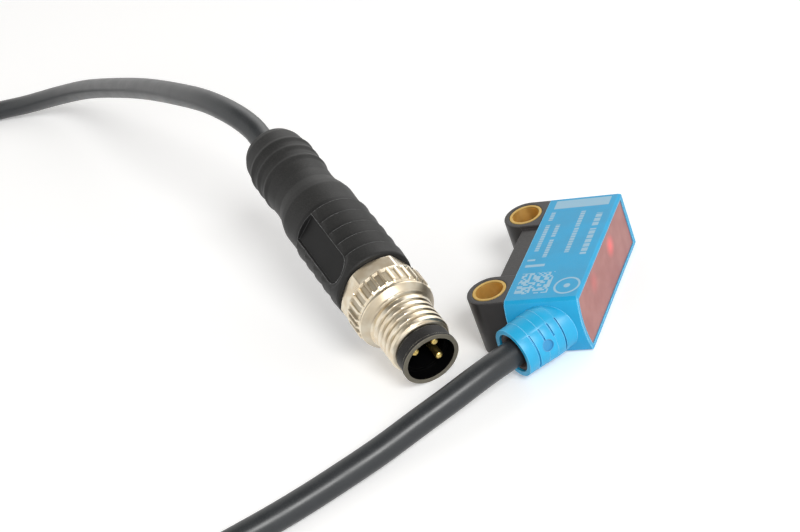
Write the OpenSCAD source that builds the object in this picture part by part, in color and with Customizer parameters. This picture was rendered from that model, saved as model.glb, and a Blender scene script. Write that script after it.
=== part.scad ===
// Miniature photoelectric proximity sensor lying on its side, with its pigtail cable and round plug.
// Millimetres. +X is the way it looks out, +Y runs along the housing away from the cable, +Z is up.
// The origin is at the middle of the sensor's underside, the cable and the plug left aside.

/* [Housing] */
// Thickness of the sensor, from the face it lies on to the face above
body_t = 7.7; // [7.4:0.1:8.2]
// Length of the blue housing along Y
body_l = 21.8; // [21:0.1:24]
// Depth of the blue housing, from the black mount to its front
body_d = 9.15; // [9:0.05:9.6]
// Wall of the blue housing
wall = 0.9; // [0.8:0.05:1]
// How far the end with the cable bulges out at half thickness
end_bulge = 0.9; // [0.6:0.1:1.1]
// Radius of the housing's long front edges
front_edge_r = 0.35; // [0.2:0.05:0.5]
// Chamfer along the housing's two ends
end_chamfer = 0.3; // [0.2:0.05:0.4]

/* [Window and optics] */
// Width of the blue rim round the window
window_rim = 0.6; // [0.5:0.05:0.7]
// Thickness of the red window
window_t = 1.2; // [1:0.1:1.4]
// How far the window sits back from the housing's front
window_recess = 0.15; // [0.1:0.05:0.25]
// Radius of both lenses
lens_r = 2.2; // [2:0.05:2.35]
// Y of the sender's optical axis
sender_y = 6.4; // [6.2:0.1:7.4]
// Y of the receiver's optical axis
receiver_y = -1.0; // [-1.2:0.1:-0.6]
// Height of the optical axes above the underside
optic_z = 3.85; // [3.8:0.05:3.9]

/* [Mount] */
// Distance between the two mounting holes
hole_pitch = 16; // [15.6:0.1:16.4]
// Bore of the brass bushes, for an M3 screw
bush_bore_d = 3.4; // [3.2:0.1:3.5]
// Outer diameter of the brass bushes
bush_d = 4.2; // [4.1:0.1:4.4]
// Radius of the round ears
ear_r = 2.8; // [2.7:0.05:2.9]
// Distance from the blue housing back to the middle of the ears
ear_back = 2.65; // [2.6:0.05:2.8]
// Depth of the black web between the ears
web_d = 2.4; // [2.2:0.1:2.6]
// How far the web lies below the ears' faces
web_step = 0.4; // [0.2:0.1:0.6]

/* [Cable outlet] */
// Angle between the outlet and the housing's length
outlet_angle = 36; // [34:1:38]
// How far the outlet reaches past the housing's end
outlet_reach = 6.6; // [6.4:0.1:6.8]
// X of the middle of the outlet's open end
outlet_x = -0.35; // [-0.5:0.05:-0.2]
// Radius of the outlet's open end
outlet_r = 3.1; // [3:0.05:3.2]
// Radius of the outlet's root
outlet_root_r = 3.2; // [3.15:0.05:3.3]
// Radius of the recess round the cable
outlet_mouth_r = 2.5; // [2.3:0.05:2.55]

/* [Cable] */
// Outer diameter of the cable
cable_d = 3.3; // [3.1:0.1:3.4]

/* [Plug] */
// Slope of the plug, which lies on its nose with its rear held up by the cable
plug_tilt = 17; // [16:1:18]
// Direction of the plug on the table, from +Y towards -X
plug_turn = 44; // [43:1:45]
// X of the plug's nose
plug_x = -11; // [-11.4:0.1:-10.8]
// Y of the plug's nose
plug_y = -12.1; // [-12.4:0.1:-11.8]
// Radius of the rim of the black nose
nose_r = 3.68; // [3.6:0.02:3.7]
// Radius of the coupling screw's thread
thread_r = 4; // [3.95:0.05:4]
// Radius of the coupling screw's bore
screw_bore_r = 3.25; // [3.22:0.01:3.28]
// Play between the bore and the black carrier that it turns on
running_play = 0.05; // [0.03:0.01:0.08]
// Radius of the coupling screw over its knurl
knurl_r = 5.25; // [5.15:0.05:5.35]
// Number of grooves in the knurl
knurl_count = 30; // [26:2:32]
// Width across the flats of the coupling screw's hexagon
hex_flats = 9.1; // [9:0.1:9.2]
// Radius of the grip at its ridges
grip_r = 5.3; // [5.2:0.05:5.35]
// Diameter of the contact pins
pin_d = 1; // [0.9:0.1:1]
// Radius of the circle that the contact pins stand on
pin_circle_r = 1.9; // [1.8:0.05:1.9]

/* [Hidden] */

$fn = 48;
// Overlap that keeps a cutter clear of the face it opens
cut = 0.2;

// Housing planes
rear_x = -(body_d + ear_back + ear_r) / 2;
border_x = rear_x + ear_r + ear_back;
front_x = border_x + body_d;
near_y = -(body_l - outlet_reach) / 2;
far_y = near_y + body_l;
mid_z = body_t / 2;
// The bulging end is an arc through both edges of the housing
bulge_r = (mid_z * mid_z + end_bulge * end_bulge) / (2 * end_bulge);
bulge_y = near_y - end_bulge + bulge_r;
bulge_steps = 12;
edge_steps = 6;
window_back_x = front_x - window_recess - window_t;

// Ears
ear_x = border_x - ear_back;
near_ear_y = near_y + 2.8;
far_ear_y = near_ear_y + hole_pitch;
mount_tongue = 0.7;
mount_tongue_root = 0.1;
mount_lip = 1;
mount_fit = 0.05;

// Outlet
outlet_y = near_y - outlet_reach + outlet_r * sin(outlet_angle);
outlet_end = 9;
outlet_bands = [
  [0, outlet_r], [1.5, outlet_r + 0.06], [2.9, outlet_r + 0.12],
  [4.15, outlet_r + 0.17], [5.35, outlet_root_r], [outlet_end, outlet_root_r]
];
spigot_r = 2.05;
spigot_y = near_y + 0.35;
slit_w = 0.22;
slit_depth = 0.4;
long_slit = [-48, 44];
short_slit = [-48, -18];
slits = [
  [1.5, long_slit], [2.9, short_slit], [4.15, short_slit], [5.35, long_slit]
];
dimple_d = 1.4;
dimple_at = 3;
dimple_turn = 83;
dimple_depth = 0.5;
cable_hole_r = cable_d / 2 + 0.1;
seal_hole_r = cable_d / 2 - 0.1;
seal_from = 0.3;
seal_to = 2.2;
seal_lip = 0.25;
seal_cone = 1;

// Board and its parts
board_z = 2.2;
board_t = 0.8;
board_top = board_z + board_t;
board_back = border_x + 0.2;
board_front = 2.6;
board_near = -5.4;
board_far = 12.8;
board_notch = 2.8;
holder_back = 2.7;
holder_near = -3.9;
holder_far = 13;
tube_back_r = 1.1;
lens_t = 0.9;
lens_bulge = 0.45;
lens_seat = 0.1;
lens_x = window_back_x - lens_t - lens_seat;
chip_l = 1.5;
chip_h = 1.6;
control_l = 4;
control_w = 3;
control_x = -1;
control_y = 0.6;
control_h = 0.9;
led_l = 0.9;
led_h = 0.5;
guide_w = 2.6;
guide_h = 1.3;
guide_x = 0.6;
led_spacing = 1.4;

// Wires: radius, then the middle points of each, from the jacket's end to its solder joint
wire_r = 0.35;
core_circle_r = 0.75;
brown_route = [[3.24, -7.44, 4.6], [2, -6.5, 4.75], [0.4, -5.6, 4.3], [-0.8, -4.4, 3.35]];
blue_route = [[3.77, -7.82, 3.45], [3.6, -6.6, 3.45], [2.7, -5.2, 3.5], [1.7, -3.4, 3.35]];
black_route = [[2.71, -7.06, 3.45], [2.1, -6, 3.5], [1.2, -4.8, 3.5], [0.3, -3.3, 3.35]];

// Route of the cable's middle line, from inside the outlet to inside the plug
cable_route = [
  [3.4, -7.2, 3.85], [-0.35, -12.4, 3.85], [-2.7, -15.6, 3.85], [-6.2, -19.7, 3.3],
  [-9.4, -23, 2.7], [-12.8, -26.7, 2.1], [-16.4, -30.7, 1.8], [-20, -34.8, 1.7],
  [-24, -39, 1.7], [-29, -43.5, 1.7], [-35.5, -47.5, 1.7], [-44, -50, 1.7],
  [-54, -49.5, 1.7], [-65, -45.5, 1.7], [-77, -38, 1.7], [-89, -28, 1.7],
  [-101, -16.5, 1.7], [-112, -3.5, 1.7], [-122, 10.5, 1.7], [-130.5, 25, 1.7],
  [-137, 39, 1.7], [-141, 52, 1.7], [-141.5, 62, 1.7], [-138, 69.5, 1.7],
  [-131, 73.5, 1.8], [-122, 73.5, 2.5], [-111.5, 70.5, 4.8], [-100.5, 64.5, 8],
  [-86, 54, 12.4], [-74.5, 45, 15.8], [-63, 35.8, 18.7], [-55, 29.8, 20],
  [-49, 25.6, 19.8], [-45.2, 23, 18.7], [-42.9, 20.9, 17.55], [-40, 17.9, 16.25]
];
ring_sides = 12;
ring_steps = 2;

// Stations along the plug, from the rim of its nose
nose = [plug_x, plug_y, nose_r * cos(plug_tilt)];
carrier_front = 2.05;
screw_front = 2.1;
screw_rear = 14.3;
grip_front = 14.4;
hex_corner_r = 5.2;
hex_chamfer = 0.55;
grip_rear = 46;
nose_step = 0.45;
nose_back_r = nose_r - 0.13;
carrier_r = screw_bore_r - running_play;
carrier_foot_r = 3.7;
carrier_rear = 20;
mouth_r = 3.14;
mouth_depth = 1.7;
cavity_r = 2.7;
cavity_floor = 6;
key_w = 2;
key_turn = -2;
thread_end = 6.6;
flange_at = 8.6;
flange_r = 5.05;
flange_to = 8.8;
flange_groove = 0.2;
knurl_from = 9.05;
knurl_to = 11.7;
knurl_turn = 1;
groove_w = 0.66;
groove_depth = 0.26;
groove_from = 9.3;
groove_to = 11.6;
ridges = [16.7, 19, 21.3, 23.7, 26.1];
ridge_h = 0.24;
ridge_back = 0.15;
ribs = [37.3, 39.5, 41.4];
rib_h = 0.22;
rib_w = 1.3;
flat_from = 15.5;
flat_to = 26.3;
flat_dist = 4.45;
flat_w = 3.9;
flat_turn = -47;
flat_border = 0.6;
flat_border_r = 5.1;
chamber_r = 2.7;
chamber_end = 40;
pin_tip = 0.75;
pin_rear = 21;
pin_turns = [43, -47, 133];
jacket_end = 44.1;
grip_neck_r = 4.45;

function unit(v) = v / norm(v);

// A point between route[i] and route[i + 1] on the smooth curve through all of them
function route_at(route, i) = route[min(max(i, 0), len(route) - 1)];
function smooth_point(route, i, t) =
  let (a = route_at(route, i - 1), b = route_at(route, i))
  let (c = route_at(route, i + 1), d = route_at(route, i + 2))
  0.5 * (2 * b + (c - a) * t + (2 * a - 5 * b + 4 * c - d) * t * t + (3 * b - 3 * c + d - a) * t * t * t);
function smooth_route(route, steps) = concat(
  [for (i = [0:len(route) - 2]) for (k = [0:steps - 1]) smooth_point(route, i, k / steps)],
  [route[len(route) - 1]]
);

// One ring of the tube, square to the way the line runs
function heading(line, i) = unit(line[min(i + 1, len(line) - 1)] - line[max(i - 1, 0)]);
function ring(line, i, r, sides) =
  let (ahead = heading(line, i))
  let (side = unit(cross(ahead, [0, 0, 1])))
  let (above = cross(side, ahead))
  [for (k = [0:sides - 1]) line[i] + r * (cos(360 * k / sides) * side + sin(360 * k / sides) * above)];

module tube(route, r, sides, steps) {
  line = smooth_route(route, steps);
  last = len(line) - 1;
  points = [for (i = [0:last]) each ring(line, i, r, sides)];
  walls = [
    for (i = [0:last - 1])
      for (k = [0:sides - 1])
        let (a = i * sides + k, b = i * sides + (k + 1) % sides)
        each [[a, b, b + sides], [a, b + sides, a + sides]]
  ];
  first_cap = [for (k = [sides - 1:-1:0]) k];
  last_cap = [for (k = [0:sides - 1]) last * sides + k];
  polyhedron(points, concat(walls, [first_cap, last_cap]), convexity = 10);
}

// A round rod from one point to another
module rod(from, to, r) {
  along = to - from;
  translate(from)
    rotate([0, acos(along.z / norm(along)), atan2(along.y, along.x)])
      cylinder(h = norm(along), r = r, $fn = 16);
}

// Points along an arc, both ends included
function arc_points(middle, r, from, to, steps) = [
  for (i = [0:steps])
    let (turn = from + (to - from) * i / steps)
    middle + r * [cos(turn), sin(turn)]
];

// The housing's outline seen along X, drawn with Y across and Z up, moved in all round
module end_outline(inset, chamfer) {
  r = bulge_r - inset;
  turn = asin((mid_z - inset - chamfer) / r);
  bulge = arc_points([bulge_y, mid_z], r, 180 + turn, 180 - turn, bulge_steps);
  low = inset;
  high = body_t - inset;
  end = far_y - inset;
  corners = chamfer == 0 ? [[end, high], [end, low]] : [
    [bulge[0].x + 1.5 * chamfer, high], [end - chamfer, high], [end, high - chamfer],
    [end, low + chamfer], [end - chamfer, low], [bulge[0].x + 1.5 * chamfer, low]
  ];
  polygon(concat(bulge, corners));
}

module end_slab(from_x, to_x, inset, chamfer = 0) {
  translate([from_x, 0, 0])
    rotate([90, 0, 90])
      linear_extrude(to_x - from_x)
        end_outline(inset, chamfer);
}

// The housing's outline seen along Y, with its two long front edges rounded
module depth_outline() {
  low = arc_points([front_x - front_edge_r, front_edge_r], front_edge_r, -90, 0, edge_steps);
  high = arc_points([front_x - front_edge_r, body_t - front_edge_r], front_edge_r, 0, 90, edge_steps);
  polygon(concat(low, high, [[border_x, body_t], [border_x, 0]]));
}

module housing_solid() {
  intersection() {
    end_slab(border_x, front_x + cut, 0, end_chamfer);
    translate([0, far_y + cut, 0])
      rotate([90, 0, 0])
        linear_extrude(body_l + end_bulge + 2 * cut)
          depth_outline();
  }
}

// Everything on the outlet's axis is drawn along +Z, from its open end into the housing
module at_outlet() {
  translate([outlet_x, outlet_y, mid_z])
    rotate([-90, 0, -outlet_angle])
      children();
}

// The part of the outlet that passes through the housing's end wall
module spigot_solid() {
  intersection() {
    at_outlet()
      translate([0, 0, seal_to])
        cylinder(r = spigot_r, h = 2 * outlet_end);
    translate([border_x, spigot_y - body_l, 0])
      cube([body_d, body_l, body_t]);
  }
}

// The opening in the housing's far end that the light guide fills
module guide_space() {
  translate([guide_x - guide_w / 2, far_y - wall - cut, mid_z - guide_h / 2])
    cube([guide_w, wall + 2 * cut, guide_h]);
}

module housing_shell() {
  color([0.2, 0.55, 0.78])
    difference() {
      housing_solid();
      end_slab(border_x - cut, window_back_x + cut, wall);
      end_slab(window_back_x, front_x + cut, window_rim);
      spigot_solid();
      guide_space();
    }
}

module front_window() {
  color([0.75, 0.3, 0.3, 0.8])
    end_slab(window_back_x, window_back_x + window_t, window_rim);
}

module ear_outline(y) {
  intersection() {
    union() {
      translate([ear_x, y])
        circle(r = ear_r);
      translate([ear_x, y - ear_r])
        square([ear_back, 2 * ear_r]);
    }
    translate([rear_x, y - ear_r])
      square([border_x - rear_x, 2 * ear_r]);
  }
}

// The black part that closes the housing's back and carries both ears
module rear_mount() {
  color([0.13, 0.13, 0.14])
    difference() {
      union() {
        linear_extrude(body_t) {
          ear_outline(near_ear_y);
          ear_outline(far_ear_y);
        }
        translate([border_x - web_d, near_ear_y, web_step])
          cube([web_d, hole_pitch, body_t - 2 * web_step]);
        translate([border_x - cut, board_near, wall + mount_fit])
          cube([mount_tongue + cut, holder_far - board_near, body_t - 2 * wall - 2 * mount_fit]);
      }
      for (y = [near_ear_y, far_ear_y])
        translate([ear_x, y, -cut])
          cylinder(d = bush_d, h = body_t + 2 * cut);
      translate([border_x + mount_tongue_root, board_near - cut, board_z])
        cube([mount_tongue + cut, holder_far - board_near + 2 * cut, body_t - wall - mount_lip - board_z]);
    }
}

module bush(y) {
  color([0.72, 0.53, 0.22])
    translate([ear_x, y, 0])
      difference() {
        cylinder(d = bush_d, h = body_t);
        translate([0, 0, -cut])
          cylinder(d = bush_bore_d, h = body_t + 2 * cut);
      }
}

module near_bush() {
  bush(near_ear_y);
}

module far_bush() {
  bush(far_ear_y);
}

// The black block that carries both lenses and keeps the sender's light off the receiver
module optics_holder() {
  color([0.1, 0.1, 0.11])
    difference() {
      intersection() {
        end_slab(holder_back, window_back_x, wall);
        translate([holder_back - cut, holder_near, 0])
          cube([front_x - holder_back, holder_far - holder_near, body_t]);
      }
      for (y = [sender_y, receiver_y])
        translate([0, y, optic_z])
          rotate([0, 90, 0]) {
            translate([0, 0, holder_back - cut])
              cylinder(r = tube_back_r, h = cut + lens_seat);
            translate([0, 0, holder_back])
              cylinder(r1 = tube_back_r, r2 = lens_r - lens_seat, h = lens_x - lens_bulge - holder_back);
            translate([0, 0, lens_x - lens_bulge - lens_seat])
              cylinder(r = lens_r - lens_seat, h = lens_bulge + 2 * lens_seat);
            translate([0, 0, lens_x])
              cylinder(r = lens_r, h = window_back_x - lens_x + cut);
          }
    }
}

// A lens whose back bulges towards the chip behind it
module lens(y) {
  cap_r = lens_r - 2 * lens_seat;
  ball_r = (cap_r * cap_r + lens_bulge * lens_bulge) / (2 * lens_bulge);
  color([0.85, 0.9, 0.95, 0.5])
    translate([lens_x, y, optic_z])
      rotate([0, 90, 0]) {
        cylinder(r = lens_r, h = lens_t);
        intersection() {
          translate([0, 0, ball_r - lens_bulge])
            sphere(r = ball_r);
          translate([0, 0, -lens_bulge])
            cylinder(r = cap_r, h = lens_bulge + lens_seat);
        }
      }
}

module sender_lens() {
  lens(sender_y);
}

module receiver_lens() {
  lens(receiver_y);
}

// A side-looking chip on the board's front edge, with a clear dome in front
module optic_chip(y, dome_r) {
  translate([board_front - chip_l - dome_r, y - chip_l / 2, board_top])
    cube([chip_l, chip_l, chip_h]);
  translate([board_front - dome_r - lens_seat, y, optic_z])
    rotate([0, 90, 0])
      cylinder(r = dome_r, h = dome_r);
}

module sender_led() {
  color([0.85, 0.15, 0.12])
    optic_chip(sender_y, 0.5);
}

module receiver_chip() {
  color([0.25, 0.2, 0.3])
    optic_chip(receiver_y, 0.6);
}

// The board lies flat, with a notch for the cable that comes in at its near corner
module circuit_board() {
  color([0.1, 0.42, 0.2])
    difference() {
      translate([board_back, board_near, board_z])
        cube([board_front - board_back, board_far - board_near, board_t]);
      translate([board_front - board_notch, board_near - cut, board_z - cut])
        cube([board_notch + cut, board_notch / 2 + cut, board_t + 2 * cut]);
    }
}

module control_chip() {
  color([0.15, 0.15, 0.16])
    translate([control_x, control_y, board_top])
      cube([control_w, control_l, control_h]);
}

module status_leds() {
  color([0.9, 0.85, 0.5])
    for (side = [-0.5, 0.5])
      translate([guide_x + side * led_spacing - led_l / 2, board_far - led_l, board_top])
        cube([led_l, led_l, led_h]);
}

// The clear light guide that brings both status lights to the far end
module status_light_guide() {
  color([0.9, 0.95, 0.9, 0.6]) {
    translate([guide_x - guide_w / 2, far_y - wall, mid_z - guide_h / 2])
      cube([guide_w, wall, guide_h]);
    translate([guide_x - guide_w / 2, board_far - led_l, board_top + led_h])
      cube([guide_w, far_y - wall - board_far + led_l, mid_z + guide_h / 2 - board_top - led_h]);
  }
}

// One slit part of the way round the outlet, on both of its sides
module outlet_slit(along, span) {
  for (turn = [0, 180])
    rotate([0, 0, turn + span[0]])
      translate([0, 0, along - slit_w / 2])
        rotate_extrude(angle = span[1] - span[0])
          translate([outlet_r - slit_depth / 2, 0])
            square([outlet_root_r, slit_w]);
}

// The ribbed bend protector that the cable leaves through
module cable_outlet() {
  color([0.25, 0.7, 0.92])
    difference() {
      union() {
        difference() {
          at_outlet()
            difference() {
              for (i = [0:len(outlet_bands) - 2])
                translate([0, 0, outlet_bands[i][0]])
                  cylinder(r = outlet_bands[i][1], h = outlet_bands[i + 1][0] - outlet_bands[i][0]);
              for (s = slits)
                outlet_slit(s[0], s[1]);
            }
          end_slab(border_x - 2 * outlet_root_r, front_x + 2 * outlet_root_r, 0);
        }
        spigot_solid();
      }
      at_outlet() {
        translate([0, 0, -cut])
          cylinder(r = outlet_mouth_r, h = seal_to + cut);
        cylinder(r = cable_hole_r, h = 2 * outlet_end);
        rotate([0, 0, dimple_turn - 180])
          translate([0, outlet_r + 0.3 - dimple_depth, dimple_at])
            rotate([-90, 0, 0])
              cylinder(d = dimple_d, h = 1);
      }
    }
}

module cable_seal() {
  color([0.12, 0.1, 0.1])
    at_outlet()
      translate([0, 0, seal_from])
        difference() {
          cylinder(r = outlet_mouth_r, h = seal_to - seal_from);
          translate([0, 0, -cut])
            cylinder(r = seal_hole_r, h = seal_to - seal_from + 2 * cut);
          translate([0, 0, -cut])
            cylinder(r1 = outlet_mouth_r - seal_lip, r2 = seal_hole_r, h = seal_cone);
        }
}

module brown_wire() {
  color([0.4, 0.22, 0.12])
    tube(brown_route, wire_r, ring_sides, ring_steps);
}

module blue_wire() {
  color([0.12, 0.25, 0.65])
    tube(blue_route, wire_r, ring_sides, ring_steps);
}

module black_wire() {
  color([0.07, 0.07, 0.07])
    tube(black_route, wire_r, ring_sides, ring_steps);
}

module cable_jacket() {
  color([0.14, 0.14, 0.15])
    tube(cable_route, cable_d / 2, ring_sides, ring_steps);
}

// Everything on the plug's axis is drawn along +Z, from the rim of its nose to the cable
module at_plug() {
  translate(nose)
    rotate([plug_tilt - 90, 0, plug_turn])
      children();
}

// The place of a contact, turned about the plug's axis from straight above it
function contact_at(turn, r) = [r * sin(turn), -r * cos(turn)];

module contact(turn) {
  color([0.85, 0.68, 0.28])
    at_plug()
      translate(concat(contact_at(turn, pin_circle_r), [pin_tip])) {
        translate([0, 0, pin_d / 4])
          cylinder(d = pin_d, h = pin_rear - pin_tip - pin_d / 4);
        cylinder(d1 = pin_d / 2, d2 = pin_d, h = pin_d / 4);
      }
}

module pin_one() {
  contact(pin_turns[0]);
}

module pin_three() {
  contact(pin_turns[1]);
}

module pin_four() {
  contact(pin_turns[2]);
}

// The black insert that holds the contacts; its nose keeps the coupling screw on
module contact_carrier() {
  color([0.11, 0.11, 0.12])
    at_plug()
      difference() {
        union() {
          difference() {
            union() {
              cylinder(r = nose_r, h = nose_step);
              cylinder(r = nose_back_r, h = carrier_front);
              cylinder(r = carrier_r, h = carrier_rear);
              translate([0, 0, grip_front])
                cylinder(r = carrier_foot_r, h = carrier_rear - grip_front);
            }
            translate([0, 0, -cut])
              cylinder(r = mouth_r, h = mouth_depth + cut);
            cylinder(r = cavity_r, h = cavity_floor);
          }
          rotate([0, 0, key_turn])
            translate([-key_w / 2, -cavity_r - cut, mouth_depth])
              cube([key_w, 2 * cut, cavity_floor - mouth_depth + cut]);
        }
        for (turn = pin_turns)
          translate(contact_at(turn, pin_circle_r))
            cylinder(d = pin_d, h = carrier_rear + cut);
      }
}

// One groove of the knurl
module knurl_groove() {
  translate([knurl_r - groove_depth, -groove_w / 2, groove_from])
    cube([2 * groove_depth, groove_w, groove_to - groove_from]);
}

// The metal screw that couples the plug: thread, flange, knurl and hexagon
module coupling_screw() {
  color([0.78, 0.75, 0.68])
    at_plug()
      difference() {
        union() {
          rotate_extrude()
            polygon([
              [0, screw_front],
              [nose_back_r, screw_front],
              [thread_r, screw_front + thread_r - nose_back_r],
              [thread_r, thread_end],
              [thread_r + 0.1, thread_end + 0.6],
              [thread_r + 0.4, thread_end + 1.3],
              [flange_r, flange_at],
              [flange_r, flange_to],
              [flange_r - flange_groove, flange_to],
              [flange_r - flange_groove, knurl_from],
              [knurl_r, knurl_from + 0.45],
              [knurl_r, knurl_to],
              [hex_flats / 2, knurl_to + knurl_r - hex_flats / 2],
              [0, knurl_to + knurl_r - hex_flats / 2]
            ]);
          intersection() {
            translate([0, 0, knurl_to - cut])
              cylinder(d = hex_flats / cos(30), h = screw_rear - knurl_to + cut, $fn = 6);
            rotate_extrude()
              polygon([
                [0, knurl_to - 2 * cut],
                [hex_corner_r, knurl_to - 2 * cut],
                [hex_corner_r, screw_rear - hex_chamfer],
                [hex_flats / 2 - 0.05, screw_rear],
                [0, screw_rear]
              ]);
          }
        }
        translate([0, 0, screw_front - cut])
          cylinder(r = screw_bore_r, h = screw_rear - screw_front + 2 * cut);
        for (i = [0:knurl_count - 1])
          rotate([0, 0, 360 * i / knurl_count + knurl_turn])
            knurl_groove();
      }
}

// Outline of the grip: front edge, five ridges, shoulder, neck, three soft ribs and the blunt rear
function ridge_points(i) = [
  [grip_r, ridges[i]],
  [grip_r - ridge_h, ridges[i] + ridge_back]
];
function rib_points(s) = [
  [grip_neck_r, s - rib_w / 2],
  [grip_neck_r + rib_h, s],
  [grip_neck_r, s + rib_w / 2]
];

module grip_outline() {
  polygon(concat(
    [[0, grip_front], [grip_r - 0.3, grip_front], [grip_r - 0.12, grip_front + 0.25]],
    [for (i = [0:len(ridges) - 1]) each ridge_points(i)],
    [[grip_r - 0.25, 28], [grip_r - 0.2, 30.2], [grip_r - 0.4, 31.2]],
    [[grip_neck_r, 32.8], [grip_neck_r - 0.1, 34.6]],
    [for (s = ribs) each rib_points(s)],
    [[grip_neck_r - 0.1, 42.8], [4.2, 44], [3.8, 45], [3.2, 45.6], [2.4, 45.9]],
    [[1.95, grip_rear], [0, grip_rear]]
  ));
}

// The room over a finger flat and its border, round at the front and square behind
module over_flat(turn, border) {
  middle = flat_from + flat_w / 2;
  rotate([0, 0, turn])
    translate([0, -flat_dist, 0])
      rotate([90, 0, 0])
        linear_extrude(grip_r) {
          translate([0, middle])
            circle(d = flat_w + 2 * border);
          translate([-flat_w / 2 - border, middle])
            square([flat_w + 2 * border, flat_to + border - middle]);
        }
}

// What stands out of the smooth border round a finger flat, where the ridges stop
module border_relief(turn) {
  difference() {
    over_flat(turn, flat_border);
    cylinder(r = flat_border_r, h = grip_rear);
  }
}

module plug_grip() {
  color([0.15, 0.15, 0.16])
    at_plug()
      difference() {
        rotate_extrude()
          grip_outline();
        for (turn = [flat_turn, flat_turn + 180]) {
          over_flat(turn, 0);
          border_relief(turn);
        }
        translate([0, 0, grip_front - cut])
          cylinder(r = carrier_foot_r, h = carrier_rear - grip_front + cut);
        translate([0, 0, carrier_rear - cut])
          cylinder(r = chamber_r, h = chamber_end - carrier_rear + cut);
        translate([0, 0, chamber_end - cut])
          cylinder(r = cable_d / 2 - 0.1, h = grip_rear - chamber_end + 2 * cut);
      }
}

// A core of the cable, from its end inside the grip to the solder joint of a contact
module core(turn) {
  at_plug()
    rod(
      concat(contact_at(turn, core_circle_r), [jacket_end]),
      concat(contact_at(turn, pin_circle_r), [pin_rear - 0.4]),
      wire_r
    );
}

module plug_brown_wire() {
  color([0.4, 0.22, 0.12])
    core(pin_turns[0]);
}

module plug_blue_wire() {
  color([0.12, 0.25, 0.65])
    core(pin_turns[1]);
}

module plug_black_wire() {
  color([0.07, 0.07, 0.07])
    core(pin_turns[2]);
}

housing_shell();
front_window();
rear_mount();
near_bush();
far_bush();
optics_holder();
sender_lens();
receiver_lens();
sender_led();
receiver_chip();
circuit_board();
control_chip();
status_leds();
status_light_guide();
cable_outlet();
cable_seal();
brown_wire();
blue_wire();
black_wire();
cable_jacket();
plug_grip();
contact_carrier();
coupling_screw();
pin_one();
pin_three();
pin_four();
plug_brown_wire();
plug_blue_wire();
plug_black_wire();
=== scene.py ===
import math

import bmesh
import bpy
from mathutils import Matrix, Vector


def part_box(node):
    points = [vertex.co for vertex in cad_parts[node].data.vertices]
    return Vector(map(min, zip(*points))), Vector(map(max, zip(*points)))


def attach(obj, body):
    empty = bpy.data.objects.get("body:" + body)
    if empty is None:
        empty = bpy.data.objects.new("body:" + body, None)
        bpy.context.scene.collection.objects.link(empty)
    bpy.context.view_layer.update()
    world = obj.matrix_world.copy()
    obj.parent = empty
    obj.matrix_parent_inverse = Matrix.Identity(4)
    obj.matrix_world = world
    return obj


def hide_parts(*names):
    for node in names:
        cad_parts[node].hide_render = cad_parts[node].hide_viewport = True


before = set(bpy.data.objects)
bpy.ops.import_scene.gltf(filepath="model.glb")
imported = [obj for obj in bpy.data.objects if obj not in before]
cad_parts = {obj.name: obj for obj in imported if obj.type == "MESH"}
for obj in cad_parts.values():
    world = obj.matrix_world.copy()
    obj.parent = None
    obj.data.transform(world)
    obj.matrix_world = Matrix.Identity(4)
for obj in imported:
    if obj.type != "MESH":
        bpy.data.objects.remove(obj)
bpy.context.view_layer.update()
print("frame loaded")

mm = 0.001
sensorBody = "sensor_and_cable"
screwBody = "coupling_screw"


def newObject(name, data):
    made = bpy.data.objects.new(name, data)
    bpy.context.collection.objects.link(made)
    return made


# Camera, as the photograph was taken: place in millimetres, turn in degrees, clip in metres

camera = {
    "place": (80.62, -165.54, 118.17),
    "turn": (58.672, 18.418, 19.780),
    "lens": 81.0,
    "sensorWidth": 36.0,
    "clip": (0.01, 20.0),
}


def makeCamera():
    data = bpy.data.cameras.new("camera")
    data.lens = camera["lens"]
    data.sensor_width = camera["sensorWidth"]
    data.clip_start, data.clip_end = camera["clip"]
    made = newObject("camera", data)
    made.location = [v * mm for v in camera["place"]]
    made.rotation_euler = [math.radians(v) for v in camera["turn"]]
    bpy.context.scene.camera = made


makeCamera()
print("camera placed")


# Node helpers

def addNode(tree, kind, **settings):
    made = tree.nodes.new(kind)
    for key, value in settings.items():
        setattr(made, key, value)
    return made


def feed(tree, socket, value):
    # a socket takes another socket's value or a plain one
    if isinstance(value, bpy.types.NodeSocket):
        tree.links.new(value, socket)
    elif value is not None:
        socket.default_value = value


def compute(tree, operation, first, second=None, third=None, clamp=False):
    made = addNode(tree, "ShaderNodeMath", operation=operation, use_clamp=clamp)
    for socket, value in zip(made.inputs, (first, second, third)):
        feed(tree, socket, value)
    return made.outputs[0]


def multiply(tree, *factors):
    total = factors[0]
    for factor in factors[1:]:
        total = compute(tree, "MULTIPLY", total, factor)
    return total


def subtract(tree, first, second):
    return compute(tree, "SUBTRACT", first, second)


def computeVector(tree, operation, first, second=None):
    made = addNode(tree, "ShaderNodeVectorMath", operation=operation)
    feed(tree, made.inputs[0], first)
    feed(tree, made.inputs[1], second)
    isNumber = operation in ("DISTANCE", "DOT_PRODUCT", "LENGTH")
    return made.outputs["Value" if isNumber else "Vector"]


def flatten(tree, vector):
    return computeVector(tree, "MULTIPLY", vector, (1.0, 1.0, 0.0))


def radiusOf(tree, vector):
    # how far a place is from the Z axis
    return computeVector(tree, "LENGTH", flatten(tree, vector))


def splitVector(tree, vector):
    made = addNode(tree, "ShaderNodeSeparateXYZ")
    feed(tree, made.inputs[0], vector)
    return made.outputs


def objectPlace(tree):
    return addNode(tree, "ShaderNodeTexCoord").outputs["Object"]


def vectorAlong(tree, axisPlace):
    # the place on a piece, as seen from the piece's own axis
    made = addNode(tree, "ShaderNodeMapping", vector_type="TEXTURE")
    feed(tree, made.inputs["Vector"], objectPlace(tree))
    feed(tree, made.inputs["Location"], axisPlace.to_translation())
    feed(tree, made.inputs["Rotation"], axisPlace.to_euler())
    return made.outputs[0]


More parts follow.
